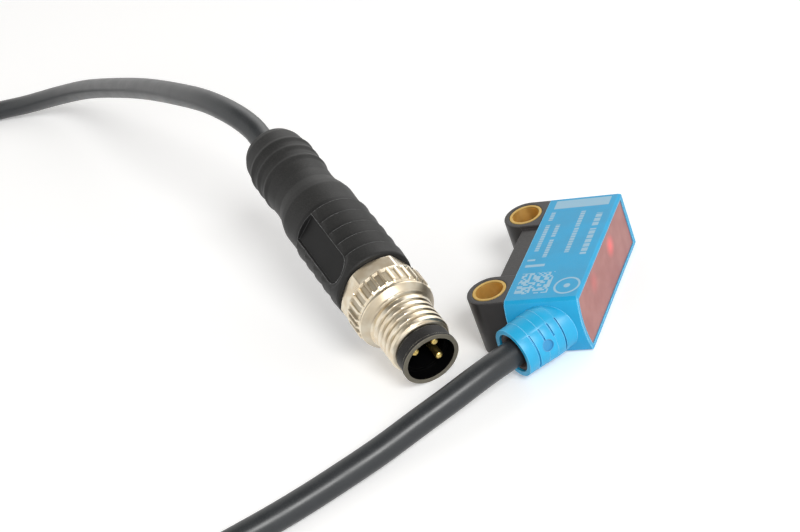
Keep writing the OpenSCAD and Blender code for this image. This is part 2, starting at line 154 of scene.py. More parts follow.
def noiseValue(tree, vector, size, detail=2.0):
    # soft noise with patches of about this size
    made = addNode(tree, "ShaderNodeTexNoise")
    feed(tree, made.inputs["Vector"], vector)
    feed(tree, made.inputs["Scale"], compute(tree, "DIVIDE", 1.0, size))
    feed(tree, made.inputs["Detail"], detail)
    return made.outputs["Fac"]


def rampBetween(tree, value, low, high):
    # 0 at low, 1 at high, with soft ends
    made = addNode(tree, "ShaderNodeMapRange", interpolation_type="SMOOTHSTEP")
    feed(tree, made.inputs["Value"], value)
    feed(tree, made.inputs["From Min"], low)
    feed(tree, made.inputs["From Max"], high)
    return made.outputs["Result"]


def blendColours(tree, amount, first, second):
    made = addNode(tree, "ShaderNodeMix", data_type="RGBA")
    feed(tree, made.inputs["Factor"], amount)
    feed(tree, made.inputs[6], first)
    feed(tree, made.inputs[7], second)
    return made.outputs[2]


def newGroup(name, inputs, *outputs):
    # an input without a usual value is a vector, and all the others are numbers
    group = bpy.data.node_groups.new(name, "ShaderNodeTree")
    for label, usual in inputs.items():
        kind = "NodeSocketVector" if usual is None else "NodeSocketFloat"
        made = group.interface.new_socket(label, in_out="INPUT", socket_type=kind)
        if usual is not None:
            made.default_value = usual
    for label in outputs:
        group.interface.new_socket(label, in_out="OUTPUT", socket_type="NodeSocketFloat")
    given = addNode(group, "NodeGroupInput").outputs
    return group, given, addNode(group, "NodeGroupOutput").inputs


def placeGroup(tree, group, values):
    made = addNode(tree, "ShaderNodeGroup", node_tree=group)
    for label, value in values.items():
        feed(tree, made.inputs[label], value)
    return made.outputs


# Shared surface effects

effects = {
    "grainDetail": 3.0, "ringDetail": 3.0, "speckDetail": 4.0, "bevelSamples": 4,
    "sharpness": (0.01, 0.16), "patches": (0.35, 0.6), "upward": (0.0, 0.9), "specks": (0.4, 0.75),
    "markSoftness": 0.04, "ringSoftness": 0.03,
}


def makeGrainGroup():
    # fine moulded or cast grain, and a slow change of tone over the piece
    group, given, result = newGroup(
        "surfaceGrain", {"Grain size": 0.0001, "Tone size": 0.003}, "Height", "Tone"
    )
    place = objectPlace(group)
    height = noiseValue(group, place, given["Grain size"], effects["grainDetail"])
    feed(group, result["Height"], height)
    feed(group, result["Tone"], noiseValue(group, place, given["Tone size"]))
    return group


def makeEdgeGroup():
    # 1 along sharp edges, broken up by noise: edges worn by handling, and on some finishes a
    #                                          painted edge highlight
    group, given, result = newGroup(
        "edgeWearAndHighlight", {"Radius": 0.0001, "Patch size": 0.0005, "Evenness": 0.0}, "Mask"
    )
    rounded = addNode(group, "ShaderNodeBevel", samples=effects["bevelSamples"])
    feed(group, rounded.inputs["Radius"], given["Radius"])
    flat = addNode(group, "ShaderNodeNewGeometry").outputs["Normal"]
    likeness = computeVector(group, "DOT_PRODUCT", rounded.outputs["Normal"], flat)
    edge = rampBetween(group, subtract(group, 1.0, likeness), *effects["sharpness"])
    patches = noiseValue(group, objectPlace(group), given["Patch size"])
    patches = rampBetween(group, patches, *effects["patches"])
    patches = compute(group, "MAXIMUM", patches, given["Evenness"])
    feed(group, result["Mask"], multiply(group, edge, patches))
    return group


def makeDustGroup():
    # thin dust and lint on faces that look up
    group, given, result = newGroup("thinDust", {"Amount": 0.1, "Speck size": 0.0002}, "Mask")
    normal = splitVector(group, addNode(group, "ShaderNodeNewGeometry").outputs["Normal"])
    upward = rampBetween(group, normal["Z"], *effects["upward"])
    specks = noiseValue(group, objectPlace(group), given["Speck size"], effects["speckDetail"])
    specks = rampBetween(group, specks, *effects["specks"])
    feed(group, result["Mask"], multiply(group, upward, specks, given["Amount"]))
    return group


def makeTurnedGroup():
    # fine rings that a lathe leaves, round the Z axis of the vector that is fed in
    group, given, result = newGroup("turnedRings", {"Vector": None, "Ring size": 0.00006}, "Height")
    radius = radiusOf(group, given["Vector"])
    station = splitVector(group, given["Vector"])["Z"]
    along = addNode(group, "ShaderNodeCombineXYZ")
    feed(group, along.inputs["X"], compute(group, "DIVIDE", radius, given["Ring size"]))
    feed(group, along.inputs["Y"], compute(group, "DIVIDE", station, given["Ring size"]))
    rings = noiseValue(group, along.outputs[0], 1.0, effects["ringDetail"])
    feed(group, result["Height"], rings)
    return group


def makeGrooveGroup():
    # mask for painted shade, painted highlight and grime: 1 at the dark radius, 0 at the unmarked
    # one, between two stations on the Z axis of the vector
    group, given, result = newGroup("paintedLightAndGrime", {
        "Vector": None, "Unmarked radius": 0.005, "Dark radius": 0.0048, "From": 0.0, "To": 0.001,
    }, "Mask")
    radius = radiusOf(group, given["Vector"])
    station = splitVector(group, given["Vector"])["Z"]
    deep = rampBetween(group, radius, given["Unmarked radius"], given["Dark radius"])
    after = compute(group, "GREATER_THAN", station, given["From"])
    before = compute(group, "LESS_THAN", station, given["To"])
    feed(group, result["Mask"], multiply(group, after, before, deep))
    return group


def insideWidth(tree, away, width, softness):
    # 1 nearer than half the width, with a soft edge
    room = subtract(tree, multiply(tree, width, 0.5), away)
    return rampBetween(tree, room, -softness * mm, softness * mm)


def makeMarkGroup():
    # a pale laser-marked rectangle, whole or in ticks along Y, seen from above
    group, given, result = newGroup("laserMark", {
        "Vector": None, "Middle X": 0.0, "Middle Y": 0.0, "Width": 0.001, "Length": 0.001,
        "Tick": 0.0005, "Fill": 1.0,
    }, "Mask")
    place = splitVector(group, given["Vector"])
    tick = compute(group, "FRACT", compute(group, "DIVIDE", place["Y"], given["Tick"]))
    mask = compute(group, "LESS_THAN", tick, given["Fill"])
    for axis, middle, size in (("X", "Middle X", "Width"), ("Y", "Middle Y", "Length")):
        away = compute(group, "ABSOLUTE", subtract(group, place[axis], given[middle]))
        inside = insideWidth(group, away, given[size], effects["markSoftness"])
        mask = multiply(group, mask, inside)
    feed(group, result["Mask"], mask)
    return group


def makeRingGroup():
    # a pale laser-marked circle line, seen from above
    group, given, result = newGroup(
        "laserRing", {"Vector": None, "Middle": None, "Radius": 0.001, "Line": 0.0002}, "Mask"
    )
    flat = flatten(group, given["Vector"])
    away = computeVector(group, "DISTANCE", flat, given["Middle"])
    away = compute(group, "ABSOLUTE", subtract(group, away, given["Radius"]))
    ring = insideWidth(group, away, given["Line"], effects["ringSoftness"])
    feed(group, result["Mask"], ring)
    return group


def makeBlocksGroup():
    # small squares, some pale and some not, with nothing to be read in them
    group, given, result = newGroup(
        "scatteredSquares", {"Vector": None, "Size": 0.0003, "Share": 0.5}, "Mask"
    )
    scaled = addNode(group, "ShaderNodeVectorMath", operation="SCALE")
    feed(group, scaled.inputs[0], given["Vector"])
    feed(group, scaled.inputs["Scale"], compute(group, "DIVIDE", 1.0, given["Size"]))
    cell = computeVector(group, "FLOOR", flatten(group, scaled.outputs[0]))
    noise = addNode(group, "ShaderNodeTexWhiteNoise", noise_dimensions="3D")
    feed(group, noise.inputs["Vector"], cell)
    pale = compute(group, "LESS_THAN", noise.outputs["Value"], given["Share"])
    feed(group, result["Mask"], pale)
    return group


grainGroup = makeGrainGroup()
edgeGroup = makeEdgeGroup()
dustGroup = makeDustGroup()
turnedGroup = makeTurnedGroup()
grooveGroup = makeGrooveGroup()
markGroup = makeMarkGroup()
ringGroup = makeRingGroup()
blocksGroup = makeBlocksGroup()


# Finishes: all their sizes are in millimetres and their colours as read on a screen, 0 to 255

def colour(red, green, blue):
    # a screen colour made linear
    def linear(value):
        value = value / 255
        return value / 12.92 if value <= 0.04045 else ((value + 0.055) / 1.055) ** 2.4
    return (linear(red), linear(green), linear(blue), 1.0)


def shaded(tone, amount):
    return tuple(min(1.0, amount * v) for v in tone[:3]) + (1.0,)


def newMaterial(name, settings):
    # settings are plain values of the shader's own sockets
    made = bpy.data.materials.new(name)
    made.use_nodes = True
    tree = made.node_tree
    tree.nodes.clear()
    shader = addNode(tree, "ShaderNodeBsdfPrincipled")
    for label, value in settings.items():
        shader.inputs[label].default_value = value
    output = addNode(tree, "ShaderNodeOutputMaterial")
    tree.links.new(shader.outputs[0], output.inputs[0])
    return made, tree, shader


def addBump(tree, shader, height, depth, after=None):
    made = addNode(tree, "ShaderNodeBump")
    feed(tree, made.inputs["Height"], height)
    feed(tree, made.inputs["Distance"], depth * mm)
    feed(tree, made.inputs["Normal"], after)
    feed(tree, shader.inputs["Normal"], made.outputs[0])
    return made.outputs[0]


def grainOf(tree, grainSize, toneSize):
    return placeGroup(tree, grainGroup, {"Grain size": grainSize * mm, "Tone size": toneSize * mm})


def unevenly(tree, tone, roughness, spread):
    # a roughness that follows the slow change of tone
    return compute(tree, "MULTIPLY_ADD", tone, spread, roughness - spread / 2)


def recolour(made, amount, tone):
    # lays a tone over a finish, as far as the mask says
    tree = made.node_tree
    socket = tree.nodes["Principled BSDF"].inputs["Base Color"]
    feed(tree, socket, blendColours(tree, amount, socket.links[0].from_socket, tone))


plasticLook = {
    "toneSize": 3.0, "tones": (0.3, 0.7), "toneShade": 0.9, "edgePatch": 0.9, "speckSize": 0.16,
    "dustColour": (214, 212, 206), "roughSpread": 0.16, "dustRoughness": 0.3,
}


def plastic(
    name, base, pale, roughness, grain, wearAndHighlight=0.0, dust=0.0, shine=0.5, evenness=0.0, edgeWidth=0.14
):
    # moulded plastic or rubber: grain, slow tone, paler edges from wear and on some pieces a
    # painted highlight, and a little dust
    look = plasticLook
    base = colour(*base)
    grainSize, grainDepth = grain
    made, tree, shader = newMaterial(name, {"Specular IOR Level": shine})
    noise = grainOf(tree, grainSize, look["toneSize"])
    tone = rampBetween(tree, noise["Tone"], *look["tones"])
    body = blendColours(tree, tone, shaded(base, look["toneShade"]), base)
    edge = placeGroup(tree, edgeGroup, {
        "Radius": edgeWidth * mm, "Patch size": look["edgePatch"] * mm, "Evenness": evenness,
    })["Mask"]
    # pale edges: wear, and on some finishes a painted edge highlight
    paintedAndWorn = blendColours(tree, multiply(tree, edge, wearAndHighlight), body, colour(*pale))
    specks = {"Amount": dust, "Speck size": look["speckSize"] * mm}
    dusty = placeGroup(tree, dustGroup, specks)["Mask"]
    dusted = blendColours(tree, dusty, paintedAndWorn, colour(*look["dustColour"]))
    feed(tree, shader.inputs["Base Color"], dusted)
    rough = unevenly(tree, noise["Tone"], roughness, look["roughSpread"])
    rough = compute(tree, "ADD", rough, multiply(tree, dusty, look["dustRoughness"]))
    feed(tree, shader.inputs["Roughness"], rough)
    addBump(tree, shader, noise["Height"], grainDepth)
    return made


def bandMask(tree, vector, unmarked, dark, first, last, amount):
    mask = placeGroup(tree, grooveGroup, {
        "Vector": vector, "Unmarked radius": unmarked * mm, "Dark radius": dark * mm,
        "From": first * mm, "To": last * mm,
    })["Mask"]
    return multiply(tree, mask, amount)


metalLook = {
    "grainSize": 0.05, "grainDepth": 0.002, "toneSize": 1.6, "tones": (0.35, 0.68),
    "edgeWidth": 0.09, "edgePatch": 0.6, "edgeShade": 1.25, "roughSpread": 0.14,
    "shadeAndGrimeTone": 0.35, "shadeAndGrimeRoughness": 0.3,
}


def metal(name, base, shade, roughness, rings, axisPlace, wearAndHighlight=0.3, grooves=(), metallic=1.0):
    # turned metal: rings round its axis, tarnish in patches, brighter worn edges, and darker,
    # rougher grooves and bands that are painted shade, with grime in some grooves
    look = metalLook
    base, shade = colour(*base), colour(*shade)
    ringSize, ringDepth = rings
    made, tree, shader = newMaterial(name, {"Metallic": metallic})
    vector = vectorAlong(tree, axisPlace)
    turned = placeGroup(tree, turnedGroup, {"Vector": vector, "Ring size": ringSize * mm})
    grain = grainOf(tree, look["grainSize"], look["toneSize"])
    tone = rampBetween(tree, grain["Tone"], *look["tones"])
    body = blendColours(tree, tone, shade, base)
    width = {"Radius": look["edgeWidth"] * mm, "Patch size": look["edgePatch"] * mm}
    edge = multiply(tree, placeGroup(tree, edgeGroup, width)["Mask"], wearAndHighlight)
    paintedAndWorn = blendColours(tree, edge, body, shaded(base, look["edgeShade"]))
    rough = unevenly(tree, grain["Tone"], roughness, look["roughSpread"])
    # painted shade in the grooves and on the bushes' tops, with grime in the knurl and thread:
    # darker and rougher
    for groove in grooves:
        shadeAndGrime = bandMask(tree, vector, *groove)
        paintedAndWorn = blendColours(tree, shadeAndGrime, paintedAndWorn, shaded(shade, look["shadeAndGrimeTone"]))
        rough = compute(tree, "MULTIPLY_ADD", shadeAndGrime, look["shadeAndGrimeRoughness"], rough)
    feed(tree, shader.inputs["Base Color"], paintedAndWorn)
    feed(tree, shader.inputs["Roughness"], rough)
    first = addBump(tree, shader, turned["Height"], ringDepth)
    addBump(tree, shader, grain["Height"], look["grainDepth"], first)
    return made


window = {
    "red": (150, 86, 82), "haze": (166, 110, 104), "tones": (0.25, 0.75), "clearness": 0.05,
    "grainSize": 0.12, "grainDepth": 0.002, "toneSize": 2.5,
    "roughness": 0.355, "roughSpread": 0.15,
    "glow": (255, 34, 50), "glowPower": 0.5, "glowRadius": 1.8,
    "spots": [(6.4, 5.1, 1.0), (-1.4, 5.3, 0.3)],  # along, up, power
}


def redWindow(name):
    # dusty red filter; the lamp behind it lights a soft spot
    settings = {"Transmission Weight": window["clearness"], "Emission Strength": 1.0}
    made, tree, shader = newMaterial(name, settings)
    grain = grainOf(tree, window["grainSize"], window["toneSize"])
    tone = rampBetween(tree, grain["Tone"], *window["tones"])
    body = blendColours(tree, tone, colour(*window["red"]), colour(*window["haze"]))
    feed(tree, shader.inputs["Base Color"], body)
    rough = unevenly(tree, grain["Tone"], window["roughness"], window["roughSpread"])
    feed(tree, shader.inputs["Roughness"], rough)
    place = objectPlace(tree)
    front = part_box("front_window")[1][0]
    total = 0.0
    for along, up, power in window["spots"]:
        away = computeVector(tree, "DISTANCE", place, (front, along * mm, up * mm))
        near = rampBetween(tree, away, window["glowRadius"] * mm, 0.0)
        spot = multiply(tree, near, power * window["glowPower"])
        total = compute(tree, "ADD", total, spot)
    glow = blendColours(tree, total, colour(0, 0, 0), colour(*window["glow"]))
    feed(tree, shader.inputs["Emission Color"], glow)
    addBump(tree, shader, grain["Height"], window["grainDepth"])
    return made


clearLook = {"ior": 1.49, "grainSize": 0.2, "toneSize": 1.0, "roughSpread": 0.04}


def clearPlastic(name, tint, roughness):
    settings = {"Transmission Weight": 1.0, "IOR": clearLook["ior"]}
    made, tree, shader = newMaterial(name, settings)
    tone = grainOf(tree, clearLook["grainSize"], clearLook["toneSize"])["Tone"]
    body = blendColours(tree, tone, colour(*tint), colour(255, 255, 255))
    feed(tree, shader.inputs["Base Color"], body)
    rough = unevenly(tree, tone, roughness, clearLook["roughSpread"])
    feed(tree, shader.inputs["Roughness"], rough)
    return made


board = {
    "tones": {"Color1": (24, 104, 60), "Color2": (30, 116, 66), "Mortar": (16, 82, 48)},
    "tracksPerMetre": 900.0, "gap": 0.03, "offset": 0.3, "relief": -0.01,
    "lacquer": 0.6, "roughness": 0.35,
}


def solderMask(name):
    # green lacquer over the board's copper tracks
    settings = {"Coat Weight": board["lacquer"], "Roughness": board["roughness"]}
    made, tree, shader = newMaterial(name, settings)
    tracks = addNode(tree, "ShaderNodeTexBrick", offset=board["offset"])
    feed(tree, tracks.inputs["Vector"], objectPlace(tree))
    feed(tree, tracks.inputs["Scale"], board["tracksPerMetre"])
    feed(tree, tracks.inputs["Mortar Size"], board["gap"])
    for label, tone in board["tones"].items():
        feed(tree, tracks.inputs[label], colour(*tone))
    feed(tree, shader.inputs["Base Color"], tracks.outputs["Color"])
    addBump(tree, shader, tracks.outputs["Fac"], board["relief"])
    return made


# Marks on the housing's top. Bars and field: middle X and Y, width, length, tick, fill

marks = {
    "bars": [
        (5.68, 3.9, 0.8, 5.4, 0.9, 0.8), (5.68, 8.6, 0.8, 2.8, 0.9, 0.8),
        (3.45, 4.45, 0.6, 5.2, 0.55, 0.78), (3.4, 9.0, 0.6, 3.4, 0.55, 0.78),
        (0.8, 3.1, 0.55, 3.8, 0.5, 0.78), (0.75, 6.8, 0.55, 2.6, 0.5, 0.78),
        (-0.6, 5.4, 0.55, 5.6, 0.5, 0.78), (-0.6, 10.1, 0.55, 1.9, 0.5, 0.78),
        (-0.7, 0.75, 1.0, 0.35, 1.0, 1.0), (0.1, -0.45, 2.5, 0.5, 1.0, 1.0),
        (2.75, 12.6, 7.2, 1.8, 1.0, 1.0),
    ],
    "field": (1.1, -4.1, 4.2, 4.2, 1.0, 1.0),
    "squareSize": 0.3, "squareShare": 0.55,
    "ringMiddle": (5.4, -5.05), "rings": [(1.5, 0.26), (0.0, 0.8)],  # radius, line
    "colour": (186, 204, 210), "strength": 0.55, "depth": 0.05,
}


def markMask(tree, place, middleX, middleY, width, length, tick, fill):
    return placeGroup(tree, markGroup, {
        "Vector": place, "Middle X": middleX * mm, "Middle Y": middleY * mm,
        "Width": width * mm, "Length": length * mm, "Tick": tick * mm, "Fill": fill,
    })["Mask"]


def addMarks(made):
    tree = made.node_tree
    place = objectPlace(tree)
    middle = (*[v * mm for v in marks["ringMiddle"]], 0.0)
    masks = []
    for radius, line in marks["rings"]:
        sizes = {"Vector": place, "Middle": middle, "Radius": radius * mm, "Line": line * mm}
        masks.append(placeGroup(tree, ringGroup, sizes)["Mask"])
    masks += [markMask(tree, place, *bar) for bar in marks["bars"]]
    squares = placeGroup(tree, blocksGroup, {
        "Vector": place, "Size": marks["squareSize"] * mm, "Share": marks["squareShare"],
    })["Mask"]
    masks.append(multiply(tree, markMask(tree, place, *marks["field"]), squares))
    total = 0.0
    for mask in masks:
        total = compute(tree, "MAXIMUM", total, mask)
    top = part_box("housing_shell")[1][2] - marks["depth"] * mm
    above = compute(tree, "GREATER_THAN", splitVector(tree, place)["Z"], top)
    recolour(made, multiply(tree, total, above, marks["strength"]), colour(*marks["colour"]))


# The plug's own axis: +Z runs from its nose to the cable, as in the part's source

plug = {"nose": (-11.0, -12.1), "noseRadius": 3.68, "tilt": 17.0, "turn": 44.0}


def plugPlace():
    tilt = math.radians(plug["tilt"])
    nose = Vector((*plug["nose"], plug["noseRadius"] * math.cos(tilt))) * mm
    turned = Matrix.Rotation(math.radians(plug["turn"]), 4, "Z")
    return Matrix.Translation(nose) @ turned @ Matrix.Rotation(tilt - math.radians(90), 4, "X")


def bushPlace(node):
    low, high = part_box(node)
    return Matrix.Translation(((low[0] + high[0]) / 2, (low[1] + high[1]) / 2, 0.0))


atPlug = plugPlace()


def addPaintedLightBands(made, rows):
    # painted light and shade in bands of another tone round the plug's axis
    vector = vectorAlong(made.node_tree, atPlug)
    for *sizes, tone in rows:
        recolour(made, bandMask(made.node_tree, vector, *sizes), colour(*tone))


recess = {
    "place": (3.74, -11.64, 4.20), "radius": 0.78, "fade": (1.1, 0.95),
    "amount": 0.55, "tone": (60, 120, 176),
}


def paintRecessShade(made):
    # painted shade: the bottom of the outlet's round recess is darker
    tree = made.node_tree
    away = computeVector(tree, "DISTANCE", objectPlace(tree), [v * mm for v in recess["place"]])
    far, near = [share * recess["radius"] * mm for share in recess["fade"]]
    inside = rampBetween(tree, away, far, near)
    recolour(made, multiply(tree, inside, recess["amount"]), colour(*recess["tone"]))


# Painted shade, with grime in the knurl and thread, and painted highlight and shade in bands:
# unmarked and dark radius, first and last station, amount, and a band's tone
shadeAndGrimeGrooves = {
    "nickel": [
        # knurl and thread grooves: painted shade with grime; flange groove and cone: painted shade
        (5.2, 5.05, 9.45, 11.66, 0.55), (3.88, 3.7, 2.3, 7.9, 0.5),
        (4.95, 4.87, 8.79, 9.06, 0.8), (9.0, 8.0, 7.5, 8.55, 0.38),
    ],
    # the bush's top face: painted shade
    "brass": [(9.0, 8.0, 7.55, 7.8, 0.5)],
}
paintedLightBands = {
    # the grip's finger flats and the root behind each ridge: painted shade
    "gripRubber": [(5.14, 4.98, 15.4, 26.9, 0.75, (12, 12, 13))],
    "carrierPlastic": [
        # the carrier's front face: painted highlight; its contact hollow: painted shade
        (9.0, 8.0, -1.0, 0.1, 0.7, (128, 123, 110)), (3.35, 3.25, 0.1, 9.0, 0.98, (5, 5, 6)),
    ],
}

# Base colour, colour of pale edges from wear and painted highlight, roughness, size and depth of
# the grain, and what is unusual
plastics = {
    # pale edges here: painted edge highlight as well as wear
    "bluePlastic": ((14, 156, 206), (156, 230, 255), 0.4, (0.09, 0.004), {
        "wearAndHighlight": 0.95, "dust": 0.02, "shine": 0.4, "evenness": 0.8, "edgeWidth": 0.24,
    }),
    "blackPlastic": ((45, 43, 43), (120, 120, 122), 0.4, (0.08, 0.004), {
        "wearAndHighlight": 0.5, "dust": 0.03, "shine": 0.3,
    }),
    "blackHolder": ((24, 24, 26), (60, 60, 62), 0.6, (0.1, 0.01), {"wearAndHighlight": 0.2}),
    # pale rims here: painted edge highlight as well as wear
    "blueRubber": ((10, 166, 216), (170, 232, 255), 0.46, (0.1, 0.003), {
        "wearAndHighlight": 0.6, "dust": 0.02, "shine": 0.7, "evenness": 0.6,
    }),
    "sealRubber": ((74, 60, 57), (110, 96, 90), 0.5, (0.1, 0.008), {"wearAndHighlight": 0.2}),
    "cableRubber": ((40, 43, 46), (96, 98, 102), 0.36, (0.12, 0.004), {"dust": 0.02}),
    # pale ridge crests here: painted highlight as well as wear
    "gripRubber": ((38, 38, 38), (160, 161, 162), 0.5, (0.08, 0.004), {
        "wearAndHighlight": 0.95, "dust": 0.02, "shine": 0.2, "evenness": 0.6,
    }),
    # pale front rim here: painted highlight as well as wear
    "carrierPlastic": ((44, 43, 43), (170, 166, 150), 0.36, (0.1, 0.003), {
        "wearAndHighlight": 0.9, "dust": 0.02, "shine": 0.08,
    }),
    "chipResin": ((34, 34, 36), (80, 80, 82), 0.5, (0.05, 0.006), {"wearAndHighlight": 0.2}),
    "brownWire": ((104, 62, 38), (150, 110, 86), 0.35, (0.1, 0.003), {}),
    "blueWire": ((34, 72, 168), (90, 120, 200), 0.35, (0.1, 0.003), {}),
    "blackWire": ((30, 30, 31), (80, 80, 82), 0.35, (0.1, 0.003), {}),
    "redResin": ((220, 60, 54), (255, 130, 120), 0.2, (0.2, 0.001), {}),
    "darkResin": ((60, 44, 66), (110, 90, 120), 0.2, (0.2, 0.001), {}),
    "paleResin": ((232, 222, 160), (250, 245, 210), 0.25, (0.2, 0.001), {}),
}

# Base colour, tarnish, roughness, size and depth of the rings, axis, and what is unusual
brass = ((246, 212, 132), (228, 190, 108), 0.4, (0.07, 0.004))
brassGrooves = {"wearAndHighlight": 0.1, "grooves": shadeAndGrimeGrooves["brass"]}
metals = {
    "nickel": ((240, 231, 212), (226, 211, 185), 0.3, (0.05, 0.003), atPlug, {
        "grooves": shadeAndGrimeGrooves["nickel"],
    }),
    "gold": ((252, 230, 156), (244, 214, 130), 0.34, (0.05, 0.001), atPlug, {}),
    "nearBrass": (*brass, bushPlace("near_bush"), {**brassGrooves, "metallic": 0.74}),
    "farBrass": (*brass, bushPlace("far_bush"), {**brassGrooves, "metallic": 0.78}),
}

# Tint and roughness
clears = {"lensPlastic": ((232, 240, 248), 0.05), "guidePlastic": ((226, 240, 228), 0.1)}

finishes = {"redWindow": redWindow("redWindow"), "solderMask": solderMask("solderMask")}
for name, values in clears.items():
    finishes[name] = clearPlastic(name, *values)
for name, (*usual, unusual) in plastics.items():
    finishes[name] = plastic(name, *usual, **unusual)
for name, (*usual, unusual) in metals.items():
    finishes[name] = metal(name, *usual, **unusual)
addMarks(finishes["bluePlastic"])
paintRecessShade(finishes["blueRubber"])
for name, rows in paintedLightBands.items():
    addPaintedLightBands(finishes[name], rows)
print("finishes made")


# Pieces

def keepPiece(piece, nodes, finish, body):
    piece.data.materials.clear()
    piece.data.materials.append(finishes[finish])
    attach(piece, body)
    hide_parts(*nodes)
    return piece


def bakeModifiers(piece):
    # the evaluated shape becomes the piece's own plain mesh
    graph = bpy.context.evaluated_depsgraph_get()
    graph.update()
    mesh = bpy.data.meshes.new_from_object(piece.evaluated_get(graph))
    piece.modifiers.clear()
    piece.data = mesh


softening = {"weld": 0.0005, "flatAngle": 1.0, "sharpAngle": 32.0, "segments": 2, "flatWeight": 100}


def softenedCopy(node, name, width):
    # the CAD solid with its sharp edges rounded as a mould or a cutter leaves them
    flatAngle = math.radians(softening["flatAngle"])
    sharpAngle = math.radians(softening["sharpAngle"])
    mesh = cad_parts[node].data.copy()
    work = bmesh.new()
    work.from_mesh(mesh)
    bmesh.ops.remove_doubles(work, verts=work.verts, dist=softening["weld"] * mm)
    bmesh.ops.dissolve_limit(work, angle_limit=flatAngle, verts=work.verts, edges=work.edges)
    work.to_mesh(mesh)
    work.free()
    piece = newObject(name, mesh)
    bevel = piece.modifiers.new("soften", "BEVEL")
    bevel.width = width * mm
    bevel.segments = softening["segments"]
    bevel.limit_method = "ANGLE"
    bevel.angle_limit = sharpAngle
    bevel.use_clamp_overlap = True
    bakeModifiers(piece)
    piece.data.shade_smooth()
    piece.data.set_sharp_from_angle(angle=sharpAngle)
    flatter = piece.modifiers.new("flatter", "WEIGHTED_NORMAL")
    flatter.weight = softening["flatWeight"]
    flatter.keep_sharp = True
    bakeModifiers(piece)
    return piece


def linkRings(rings):
    # faces between neighbouring rings of equal count
    faces = []
    for lower, upper in zip(rings, rings[1:]):
        for i in range(len(lower)):
            j = (i + 1) % len(lower)
            faces.append((lower[i], lower[j], upper[j], upper[i]))
    return faces


# closest points of a turned piece in millimetres, and the share of a side that a corner may take
turning = {"weld": 0.0002, "cornerShare": 0.4}


def turnedMesh(name, outline, sides, radiusAt=None, closed=True):
    # outline: (station, radius) pairs along the axis; radiusAt may change a radius with the turn
    points = []
    rings = []
    for station, radius in outline:
        ring = []
        for i in range(sides):
            turn = 2 * math.pi * i / sides
            r = radius if radiusAt is None else radiusAt(station, radius, turn)
            ring.append(len(points))
            points.append((r * mm * math.cos(turn), r * mm * math.sin(turn), station * mm))
        rings.append(ring)
    if closed:
        faces = linkRings(rings + rings[:1])
    else:
        faces = linkRings(rings) + [tuple(reversed(rings[0])), tuple(rings[-1])]
    mesh = bpy.data.meshes.new(name)
    mesh.from_pydata(points, [], faces)
    work = bmesh.new()
    work.from_mesh(mesh)
    bmesh.ops.remove_doubles(work, verts=work.verts, dist=turning["weld"] * mm)
    bmesh.ops.recalc_face_normals(work, faces=work.faces)
    work.to_mesh(mesh)
    work.free()
    mesh.shade_smooth()
    return mesh


def fineOutline(points, step):
    # extra stations on the long stretches between the corners of an outline
    fine = [points[0]]
    for (s0, r0), (s1, r1) in zip(points, points[1:]):
        count = max(1, math.ceil(abs(s1 - s0) / step))
        for k in range(1, count + 1):
            fine.append((s0 + (s1 - s0) * k / count, r0 + (r1 - r0) * k / count))
    return fine


def roundedOutline(points, radius):
    # each corner gives way to two points beside it, which catches the light
    soft = [points[0]]
    for before, corner, after in zip(points, points[1:], points[2:]):
        for other in (before, after):
            gap = math.dist(corner, other)
            part = min(radius, turning["cornerShare"] * gap) / gap if gap else 0.0
            soft.append(tuple(c + (o - c) * part for c, o in zip(corner, other)))
    soft.append(points[-1])
    return soft


# Cable: the same route as in the part's source, in millimetres

cable = {
    "diameter": 3.3,
    "length": 351.0,
    "exit": (-0.35, -12.4, 3.85),
    "steps": 8,
    "roundness": 6,
    "route": [
        (3.4, -7.2, 3.85), (-0.35, -12.4, 3.85), (-2.7, -15.6, 3.85), (-6.2, -19.7, 3.3),
        (-9.4, -23, 2.7), (-12.8, -26.7, 2.1), (-16.4, -30.7, 1.8), (-20, -34.8, 1.7),
        (-24, -39, 1.7), (-29, -43.5, 1.7), (-35.5, -47.5, 1.7), (-44, -50, 1.7),
        (-54, -49.5, 1.7), (-65, -45.5, 1.7), (-77, -38, 1.7), (-89, -28, 1.7),
        (-101, -16.5, 1.7), (-112, -3.5, 1.7), (-122, 10.5, 1.7), (-130.5, 25, 1.7),
        (-137, 39, 1.7), (-141, 52, 1.7), (-141.5, 62, 1.7), (-138, 69.5, 1.7),
        (-131, 73.5, 1.8), (-122, 73.5, 2.5), (-111.5, 70.5, 4.8), (-100.5, 64.5, 8),
        (-86, 54, 12.4), (-74.5, 45, 15.8), (-63, 35.8, 18.7), (-55, 29.8, 20),
        (-49, 25.6, 19.8), (-45.2, 23, 18.7), (-42.9, 20.9, 17.55), (-40, 17.9, 16.25),
    ],
}


def smoothRoute(route, steps):
    # a smooth line through all the points
    points = [Vector(p) for p in route]
    ends = [points[0]] + points + [points[-1]]
    smooth = []
    for a, b, c, d in zip(ends, ends[1:], ends[2:], ends[3:]):
        squared = 2 * a - 5 * b + 4 * c - d
        cubed = 3 * b - 3 * c + d - a
        for k in range(steps):
            t = k / steps
            smooth.append(0.5 * (2 * b + (c - a) * t + squared * t * t + cubed * t ** 3))
    smooth.append(points[-1])
    return [p * mm for p in smooth]


def makeCable():
    line = smoothRoute(cable["route"], cable["steps"])
    data = bpy.data.curves.new("cable", "CURVE")
    data.dimensions = "3D"
    spline = data.splines.new("POLY")
    spline.points.add(len(line) - 1)
    for point, place in zip(spline.points, line):
        point.co = (*place, 1.0)
    spline.use_smooth = True
    data.bevel_depth = cable["diameter"] * mm / 2
    data.bevel_resolution = cable["roundness"]
    data.use_fill_caps = True
    piece = newObject("cable", data)
    return keepPiece(piece, ["cable_jacket"], "cableRubber", sensorBody)


cablePiece = makeCable()
print("cable laid")


# Coupling screw: Geometry Nodes cut the thread and the knurl into the turned blank

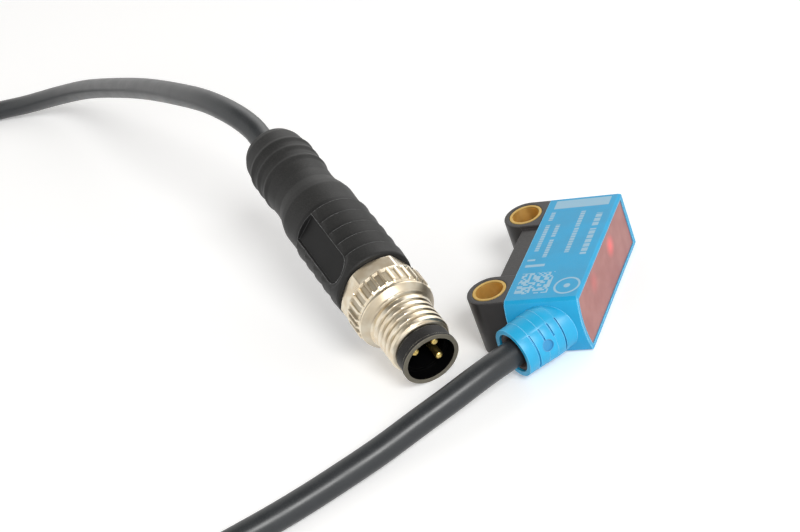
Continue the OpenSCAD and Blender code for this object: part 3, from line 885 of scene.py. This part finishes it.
screw = {
    "lengths": {
        "Pitch": 1.0, "Thread depth": 0.43, "Thread start": 2.4, "Thread end": 8.2,
        "Fade in": 0.35, "Fade out": 0.9, "Knurl start": 9.15, "Knurl end": 11.62,
        "Groove width": 0.7, "Groove depth": 0.28, "Groove slope": 0.06, "Knurl fade": 0.14,
        "Inner radius": 3.35,
    },
    "numbers": {
        "Thread width": 0.5, "Thread turn": 0.8, "Groove count": 30.0, "Knurl turn": 1 / 360,
    },
    "boreRadius": 3.25, "hexFlats": 9.1, "hexFrom": 11.7, "hexCorner": 5.2, "hexChamfer": 0.55,
    "coneRadius": 5.25, "softCorner": 0.06, "sharpAngle": 28.0,
    "sides": 440, "step": 0.1, "threadStep": 0.048, "boreStep": 1.5,
    "outline": [
        (2.3, 3.25), (2.3, 3.6), (2.65, 4.0), (6.6, 4.0), (7.2, 4.1), (7.9, 4.4), (8.6, 5.05),
        (8.8, 5.05), (8.8, 4.85), (9.05, 4.85), (9.5, 5.25), (11.7, 5.25), (13.75, 5.2),
        (14.3, 4.5), (14.3, 3.25),
    ],
}


def softEnds(tree, station, start, end, fadeIn, fadeOut):
    first = rampBetween(tree, station, start, compute(tree, "ADD", start, fadeIn))
    last = rampBetween(tree, station, end, subtract(tree, end, fadeOut))
    return first, last


def makeCutterTree():
    # moves the outer wall in towards the Z axis: a helical groove, and axial grooves in a band
    tree = bpy.data.node_groups.new("threadAndKnurl", "GeometryNodeTree")
    kinds = {"Geometry": "NodeSocketGeometry", "Finish": "NodeSocketMaterial"}
    for label in ("Geometry", *screw["lengths"], *screw["numbers"], "Finish"):
        kind = kinds.get(label, "NodeSocketFloat")
        tree.interface.new_socket(label, in_out="INPUT", socket_type=kind)
    tree.interface.new_socket("Geometry", in_out="OUTPUT", socket_type="NodeSocketGeometry")
    given = addNode(tree, "NodeGroupInput").outputs

    place = addNode(tree, "GeometryNodeInputPosition").outputs[0]
    parts = splitVector(tree, place)
    x, y, station = parts["X"], parts["Y"], parts["Z"]
    radius = radiusOf(tree, place)
    turn = compute(tree, "DIVIDE", compute(tree, "ARCTAN2", y, x), 2 * math.pi)
    outer = compute(tree, "GREATER_THAN", radius, given["Inner radius"])

    # thread: 1 in the root of the groove, 0 on the crest
    threadTurn = subtract(tree, turn, given["Thread turn"])
    turns = subtract(tree, compute(tree, "DIVIDE", station, given["Pitch"]), threadTurn)
    fromRoot = compute(tree, "ABSOLUTE", subtract(tree, compute(tree, "FRACT", turns), 0.5))
    flank = compute(tree, "DIVIDE", multiply(tree, fromRoot, 2.0), given["Thread width"])
    groove = compute(tree, "SUBTRACT", 1.0, flank, clamp=True)
    start, end = given["Thread start"], given["Thread end"]
    ends = softEnds(tree, station, start, end, given["Fade in"], given["Fade out"])
    thread = multiply(tree, groove, *ends, given["Thread depth"])

    # knurl: flat-bottomed grooves with short sloping sides
    knurlTurn = subtract(tree, turn, given["Knurl turn"])
    cell = compute(tree, "MULTIPLY_ADD", knurlTurn, given["Groove count"], 0.5)
    away = compute(tree, "ABSOLUTE", subtract(tree, compute(tree, "FRACT", cell), 0.5))
    girth = multiply(tree, radius, 2 * math.pi)
    away = multiply(tree, away, compute(tree, "DIVIDE", girth, given["Groove count"]))
    half = multiply(tree, given["Groove width"], 0.5)
    outside = compute(tree, "ADD", half, given["Groove slope"])
    inside = subtract(tree, half, given["Groove slope"])
    across = rampBetween(tree, away, outside, inside)
    fade = given["Knurl fade"]
    ends = softEnds(tree, station, given["Knurl start"], given["Knurl end"], fade, fade)
    knurl = multiply(tree, across, *ends, given["Groove depth"])

    depth = multiply(tree, compute(tree, "ADD", thread, knurl), outer, -1.0)
    inward = compute(tree, "DIVIDE", depth, radius)
    offset = addNode(tree, "ShaderNodeCombineXYZ")
    feed(tree, offset.inputs["X"], multiply(tree, x, inward))
    feed(tree, offset.inputs["Y"], multiply(tree, y, inward))
    moved = addNode(tree, "GeometryNodeSetPosition")
    feed(tree, moved.inputs["Geometry"], given["Geometry"])
    feed(tree, moved.inputs["Offset"], offset.outputs[0])
    plain = addNode(tree, "GeometryNodeRealizeInstances")
    feed(tree, plain.inputs[0], moved.outputs[0])
    finished = addNode(tree, "GeometryNodeSetMaterial")
    feed(tree, finished.inputs["Geometry"], plain.outputs[0])
    feed(tree, finished.inputs["Material"], given["Finish"])
    feed(tree, addNode(tree, "NodeGroupOutput").inputs[0], finished.outputs[0])
    return tree


def runTree(piece, tree, values):
    modifier = piece.modifiers.new("build", "NODES")
    modifier.node_group = tree
    for item in tree.interface.items_tree:
        if item.item_type == "SOCKET" and item.in_out == "INPUT" and item.name in values:
            modifier[item.identifier] = values[item.name]
    bakeModifiers(piece)


def screwRadius(station, radius, turn):
    # the hexagon behind the knurl: a cone leads into it, and its rear corners are cut off
    if station < screw["hexFrom"] or radius <= screw["boreRadius"]:
        return radius
    sixth = math.pi / 3
    flats = screw["hexFlats"] / 2
    facet = min(screw["hexCorner"], flats / math.cos(turn % sixth - sixth / 2))
    cone = screw["coneRadius"] - (station - screw["hexFrom"])
    left = screw["outline"][-1][0] - station
    cut = flats + left * (screw["hexCorner"] - flats) / screw["hexChamfer"]
    return min(max(facet, cone), cut)


def makeScrew():
    outline = screw["outline"]
    corners = roundedOutline(outline, screw["softCorner"])
    threaded = [p for p in corners if p[0] <= screw["lengths"]["Thread end"]]
    outside = fineOutline(threaded, screw["threadStep"])
    outside += fineOutline(corners[len(threaded):], screw["step"])
    bore = fineOutline([outline[-1], outline[0]], screw["boreStep"])[1:-1]
    blank = turnedMesh("couplingScrew", outside + bore, screw["sides"], screwRadius)
    piece = newObject("couplingScrew", blank)
    lengths = {label: value * mm for label, value in screw["lengths"].items()}
    values = {**lengths, **screw["numbers"], "Finish": finishes["nickel"]}
    runTree(piece, makeCutterTree(), values)
    piece.data.transform(atPlug)
    piece.data.set_sharp_from_angle(angle=math.radians(screw["sharpAngle"]))
    return keepPiece(piece, ["coupling_screw"], "nickel", screwBody)


screwPiece = makeScrew()
print("coupling screw cut")


# Grip: ridged barrel with two finger flats, a waist and three soft ribs

grip = {
    "radius": 5.3, "ridges": [16.7, 19.0, 21.3, 23.7, 26.1], "ridgeHeight": 0.26, "ridgeBack": 0.14,
    "ribs": [37.3, 39.5, 41.4], "ribHeight": 0.22, "ribWidth": 1.3, "neck": 4.45,
    "nose": [(14.4, 1.6), (14.4, 5.0), (14.65, 5.18)],
    "waist": [(28, 5.05), (30.2, 5.1), (31.2, 4.9), (32.8, 4.45), (34.6, 4.35)],
    "tail": [
        (42.8, 4.35), (44.0, 4.2), (45.0, 3.8), (45.6, 3.2), (45.9, 2.4), (46.0, 1.95), (46.0, 1.6),
    ],
    "flatFrom": 15.5, "flatTo": 26.3, "flatDistance": 4.45, "flatWidth": 3.9, "flatTurn": -47.0,
    "flatReach": 0.3, "border": 0.6, "borderRadius": 5.1, "borderSlope": 0.4,
    "sides": 288, "step": 0.12, "holeStep": 4.0, "softCorner": 0.08, "sharpAngle": 30.0,
}


def gripOutline():
    points = list(grip["nose"])
    for s in grip["ridges"]:
        low = grip["radius"] - grip["ridgeHeight"]
        points += [(s, grip["radius"]), (s + grip["ridgeBack"], low)]
    points += grip["waist"]
    for s in grip["ribs"]:
        half = grip["ribWidth"] / 2
        high = grip["neck"] + grip["ribHeight"]
        points += [(s - half, grip["neck"]), (s, high), (s + half, grip["neck"])]
    return points + grip["tail"]


def gripRadius(station, radius, turn):
    # two finger flats, each in a smooth border where the ridges fade. 'Up' on the plug is at -90
    # degrees; flatReach is a cosine past which the turn is too far from a flat's middle
    depth = radius
    half = grip["flatWidth"] / 2
    fromMiddle = station - grip["flatFrom"] - half
    for side in (0, 180):
        away = turn - math.radians(grip["flatTurn"] + side - 90)
        if math.cos(away) < grip["flatReach"]:
            continue
        across = grip["borderRadius"] * abs(math.sin(away))
        if fromMiddle < 0:
            outside = math.hypot(across, fromMiddle) - half
        else:
            outside = math.hypot(max(0.0, across - half), max(0.0, station - grip["flatTo"]))
        if outside <= 0:
            depth = min(depth, grip["flatDistance"] / math.cos(away))
        fade = grip["borderSlope"] * max(0.0, outside - grip["border"] / 2)
        depth = min(depth, grip["borderRadius"] + fade)
    return depth


def makeGrip():
    corners = gripOutline()
    outline = fineOutline(roundedOutline(corners, grip["softCorner"]), grip["step"])
    hole = fineOutline([corners[-1], corners[0]], grip["holeStep"])[1:-1]
    mesh = turnedMesh("plugGrip", outline + hole, grip["sides"], gripRadius)
    mesh.transform(atPlug)
    mesh.set_sharp_from_angle(angle=math.radians(grip["sharpAngle"]))
    return keepPiece(newObject("plugGrip", mesh), ["plug_grip"], "gripRubber", sensorBody)


gripPiece = makeGrip()
print("grip made")


# Contacts: turned pins with round tips

contact = {
    "radius": 0.5, "tip": 0.75, "tipLength": 0.375, "tipSteps": 10, "rear": 21.0, "sides": 32,
    "circle": 1.9,
    "pins": {
        "pin_one": ("pinOne", 43), "pin_three": ("pinThree", -47), "pin_four": ("pinFour", 133),
    },
}


def makeContact(node, name, degrees):
    outline = []
    for k in range(contact["tipSteps"]):
        rise = math.radians(90 * (k + 1) / contact["tipSteps"])
        station = contact["tip"] + contact["tipLength"] * (1 - math.cos(rise))
        outline.append((station, contact["radius"] * math.sin(rise)))
    outline.append((contact["rear"], contact["radius"]))
    mesh = turnedMesh(name, outline, contact["sides"], closed=False)
    turn = math.radians(degrees)
    side = Vector((math.sin(turn), -math.cos(turn), 0.0)) * contact["circle"] * mm
    mesh.transform(atPlug @ Matrix.Translation(side))
    return keepPiece(newObject(name, mesh), [node], "gold", sensorBody)


pins = [makeContact(node, *values) for node, values in contact["pins"].items()]
print("contacts made")


# Moulded pieces: the CAD solids with softened edges, as wide as given in millimetres

softened = [
    ("housing_shell", "housingShell", 0.1, "bluePlastic", "blue_housing"),
    ("front_window", "frontWindow", 0.06, "redWindow", "red_window"),
    ("rear_mount", "rearMount", 0.16, "blackPlastic", "black_plastic"),
    ("near_bush", "nearBush", 0.1, "nearBrass", "brass_bush"),
    ("far_bush", "farBush", 0.1, "farBrass", "brass_bush"),
    ("cable_outlet", "cableOutlet", 0.05, "blueRubber", "blue_outlet"),
    ("cable_seal", "cableSeal", 0.08, "sealRubber", "black_seal"),
    ("contact_carrier", "contactCarrier", 0.07, "carrierPlastic", "carrier"),
    ("control_chip", "controlChip", 0.06, "chipResin", "chip"),
    ("circuit_board", "circuitBoard", 0.03, "solderMask", "board"),
]
for node, name, width, finish, slot in softened:
    keepPiece(softenedCopy(node, name, width), [node], finish, sensorBody)
print("moulded pieces softened")

# Inner pieces keep their CAD shape and get their own finish
kept = {
    "optics_holder": "blackHolder", "sender_lens": "lensPlastic", "receiver_lens": "lensPlastic",
    "sender_led": "redResin", "receiver_chip": "darkResin", "status_leds": "paleResin",
    "status_light_guide": "guidePlastic", "brown_wire": "brownWire", "blue_wire": "blueWire",
    "black_wire": "blackWire", "plug_brown_wire": "brownWire", "plug_blue_wire": "blueWire",
    "plug_black_wire": "blackWire",
}
for node, finish in kept.items():
    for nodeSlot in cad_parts[node].material_slots:
        nodeSlot.material = finishes[finish]
print("inner pieces finished")


# Floor, world and lamp: places and sizes in metres, the floor's grain and patches in millimetres

stage = {
    "floorSize": 4.0, "floorDrop": 0.00002, "floorColour": (0.93, 0.93, 0.935, 1.0),
    "floorShade": 0.985, "floorGrain": 0.3, "floorPatch": 60.0, "floorLift": 0.22,
    "floorRoughness": 0.9, "floorShine": 0.1,
    "skyHigh": (0.22, 0.205, 0.185, 1.0), "skyLow": (1.2, 1.19, 1.17, 1.0), "skyFade": (0.6, 0.92),
    "skyStrength": 0.73, "skySeen": 0.88,
    "patchPlace": (0.11, 0.79, 0.6), "patchFade": (0.8, 0.97), "patchStrength": 1.3,
}

keyLamp = {"place": (0.483, -0.405, 0.493), "size": 0.3, "power": 4.4, "tint": (1.0, 1.0, 0.985)}


def makeFloor():
    mesh = bpy.data.meshes.new("floor")
    half, low = stage["floorSize"] / 2, -stage["floorDrop"]
    corners = [(-half, -half, low), (half, -half, low), (half, half, low), (-half, half, low)]
    mesh.from_pydata(corners, [], [(0, 1, 2, 3)])
    floor = newObject("floor", mesh)
    made, tree, shader = newMaterial("paper", {
        "Roughness": stage["floorRoughness"], "Specular IOR Level": stage["floorShine"],
    })
    pale = stage["floorColour"]
    tone = grainOf(tree, stage["floorGrain"], stage["floorPatch"])["Tone"]
    paper = blendColours(tree, tone, shaded(pale, stage["floorShade"]), pale)
    feed(tree, shader.inputs["Base Color"], paper)
    # the floor glows a little where it is seen, but lights nothing
    ray = addNode(tree, "ShaderNodeLightPath").outputs
    seen = compute(tree, "MAXIMUM", ray["Is Camera Ray"], ray["Is Glossy Ray"])
    seen = compute(tree, "MAXIMUM", seen, ray["Is Transmission Ray"])
    glow = addNode(tree, "ShaderNodeEmission")
    feed(tree, glow.inputs["Strength"], multiply(tree, seen, stage["floorLift"]))
    both = addNode(tree, "ShaderNodeAddShader")
    tree.links.new(shader.outputs[0], both.inputs[0])
    tree.links.new(glow.outputs[0], both.inputs[1])
    output = next(n for n in tree.nodes if n.type == "OUTPUT_MATERIAL")
    tree.links.new(both.outputs[0], output.inputs[0])
    mesh.materials.append(made)


def makeWorld():
    world = bpy.data.worlds.new("softRoom")
    bpy.context.scene.world = world
    world.use_nodes = True
    tree = world.node_tree
    tree.nodes.clear()
    direction = addNode(tree, "ShaderNodeTexCoord").outputs["Generated"]
    height = rampBetween(tree, splitVector(tree, direction)["Z"], *stage["skyFade"])
    sky = addNode(tree, "ShaderNodeBackground")
    feed(tree, sky.inputs["Color"], blendColours(tree, height, stage["skyLow"], stage["skyHigh"]))
    # shiny parts mirror a brighter room, with a bright patch on its far side
    patchPlace = Vector(stage["patchPlace"]).normalized()
    toward = computeVector(tree, "DOT_PRODUCT", direction, patchPlace)
    patch = rampBetween(tree, toward, *stage["patchFade"])
    seen = addNode(tree, "ShaderNodeLightPath").outputs["Is Glossy Ray"]
    more = stage["skySeen"] - stage["skyStrength"]
    more = compute(tree, "MULTIPLY_ADD", patch, stage["patchStrength"], more)
    strength = compute(tree, "MULTIPLY_ADD", seen, more, stage["skyStrength"])
    feed(tree, sky.inputs["Strength"], strength)
    tree.links.new(sky.outputs[0], addNode(tree, "ShaderNodeOutputWorld").inputs[0])


def makeLamp():
    data = bpy.data.lights.new("keyLamp", "AREA")
    data.shape = "DISK"
    data.size = keyLamp["size"]
    data.energy = keyLamp["power"]
    data.color = keyLamp["tint"]
    lamp = newObject("keyLamp", data)
    lamp.location = keyLamp["place"]
    lamp.rotation_euler = (-Vector(keyLamp["place"])).to_track_quat("-Z", "Y").to_euler()


makeFloor()
makeWorld()
makeLamp()
bpy.context.scene.view_settings.view_transform = "Standard"
print("stage lit")
